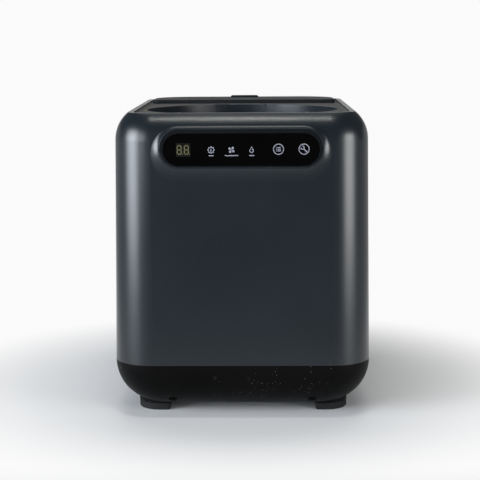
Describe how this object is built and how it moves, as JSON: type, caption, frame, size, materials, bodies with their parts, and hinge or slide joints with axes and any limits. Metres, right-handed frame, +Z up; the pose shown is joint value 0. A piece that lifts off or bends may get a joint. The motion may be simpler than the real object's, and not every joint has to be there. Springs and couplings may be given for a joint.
{
  "type": "electric food waste composter",
  "caption": "Upright bench-top food waste composter, shown open: stirring bucket in a heated well, touch panel, lift-out filter cassette.",
  "frame": {"origin": "on the floor, under the middle of the footprint", "axes": "+Z up, the control panel faces -Y, +X to the right seen from the front"},
  "size_m": [0.256, 0.337, 0.308],
  "materials": {
    "shell_plastic": "satin dark blue-grey",
    "base_plastic": "matte black, fine grain",
    "deck_plastic": "fine-textured dark grey",
    "mark_paint": "yellow-green dot",
    "foot_rubber": "dark grey rubber",
    "steel": "bare steel",
    "blade_steel": "cast stainless, lightly worn",
    "bezel_gloss": "smooth dark grey",
    "lens_black": "gloss black with printed signs",
    "board_green": "lacquered circuit board",
    "electronics_black": "moulded black",
    "lamp_clear": "clear moulded",
    "bucket_coating": "dark non-stick coat over aluminium",
    "bronze": "sintered bronze",
    "bright_wire": "polished wire",
    "grip_rubber": "soft black",
    "bare_aluminium": "pressed sheet",
    "mica_band": "steel-clad mica band",
    "felt": "ceramic felt",
    "gear_steel": "machined steel",
    "case_alloy": "die-cast alloy",
    "motor_can": "plated steel can",
    "ferrite": "ferrite",
    "copper_winding": "copper winding on steel",
    "bay_plastic": "moulded dark grey",
    "cap_plastic": "satin dark grey",
    "carbon": "carbon granules in mesh",
    "gasket_rubber": "soft foam rubber",
    "fan_plastic": "moulded black",
    "pin_brass": "plated brass"
  },
  "bodies": {
    "casing": {"outer_shell": "shell_plastic", "base_skirt": "base_plastic", "rubber_feet": "foot_rubber", "base_screws": "steel", "panel_bezel": "bezel_gloss", "panel_lens": "lens_black", "display_board": "board_green", "digit_display": "electronics_black", "indicator_lamps": "lamp_clear", "touch_sleeves": "steel", "top_deck": "deck_plastic", "alignment_mark": "mark_paint", "lid_sensor": "electronics_black", "heated_chamber": "bare_aluminium", "chamber_screws": "steel", "heater_band": "mica_band", "insulation_wrap": "felt", "temperature_sensor": "steel", "thermal_fuse": "lamp_clear", "gearbox_lower": "case_alloy", "gearbox_upper": "case_alloy", "gearbox_screws": "steel", "output_bearing": "bronze", "gear_pins": "steel", "motor_case": "motor_can", "motor_magnets": "ferrite", "filter_bay": "bay_plastic", "fan_frame": "fan_plastic", "fan_plenum": "bay_plastic", "air_duct": "bay_plastic", "exhaust_grille": "base_plastic", "power_inlet": "electronics_black", "inlet_pins": "pin_brass", "main_board": "board_green", "board_screws": "steel", "board_components": "electronics_black"},
    "bucket": {"bucket": "bucket_coating", "bucket_bush": "bronze", "fixed_blades": "blade_steel", "bail_ears": "steel"},
    "stirrer": {"stirrer_shaft": "steel", "stirring_blades": "blade_steel", "stirrer_nut": "steel", "stirrer_coupling": "gear_steel"},
    "bail": {"bail_handle": "bright_wire", "bail_grip": "grip_rubber"},
    "output": {"output_gear": "gear_steel", "output_shaft": "steel", "drive_dog": "gear_steel"},
    "second_gear": {"second_gear": "gear_steel"},
    "first_gear": {"first_gear": "gear_steel"},
    "motor_rotor": {"motor_rotor": "copper_winding", "motor_pinion": "bronze"},
    "fan": {"fan_impeller": "fan_plastic"},
    "filter": {"cassette_cap": "cap_plastic", "cassette_body": "bay_plastic", "carbon_packs": "carbon", "filter_gasket": "gasket_rubber"}
  },
  "joints": [
    {"name": "bucket_lift", "type": "slide", "parent": "casing", "child": "bucket", "axis": [0, 0, 1], "range_m": [0, 0.205]},
    {"name": "stirrer_spin", "type": "hinge", "parent": "bucket", "child": "stirrer", "pos_m": [0, -0.043, 0.12], "axis": [0, 0, 1], "continuous": true},
    {"name": "bail_swing", "type": "hinge", "parent": "bucket", "child": "bail", "pos_m": [0, -0.043, 0.2935], "axis": [-1, 0, 0], "range_deg": [0, 180]},
    {"name": "output_spin", "type": "hinge", "parent": "casing", "child": "output", "pos_m": [0, -0.043, 0.03], "axis": [0, 0, 1], "continuous": true},
    {"name": "second_gear_spin", "type": "hinge", "parent": "casing", "child": "second_gear", "pos_m": [-0.02828, 0.00821, 0.03], "axis": [0, 0, 1], "continuous": true},
    {"name": "first_gear_spin", "type": "hinge", "parent": "casing", "child": "first_gear", "pos_m": [-0.0256, 0.06439, 0.03], "axis": [0, 0, 1], "continuous": true},
    {"name": "motor_spin", "type": "hinge", "parent": "casing", "child": "motor_rotor", "pos_m": [-0.045, 0.105, 0.1], "axis": [0, 0, 1], "continuous": true},
    {"name": "fan_spin", "type": "hinge", "parent": "casing", "child": "fan", "pos_m": [0.042, 0.11, 0.15], "axis": [0, 0, 1], "continuous": true},
    {"name": "filter_lift", "type": "slide", "parent": "casing", "child": "filter", "axis": [0, 0, 1], "range_m": [0, 0.15]}
  ],
  "couplings": [
    {"joint": "second_gear_spin", "follows": "output_spin", "ratio": -3.3333},
    {"joint": "first_gear_spin", "follows": "output_spin", "ratio": 13.333},
    {"joint": "motor_spin", "follows": "output_spin", "ratio": -53.333},
    {"joint": "stirrer_spin", "follows": "output_spin", "ratio": 1}
  ]
}
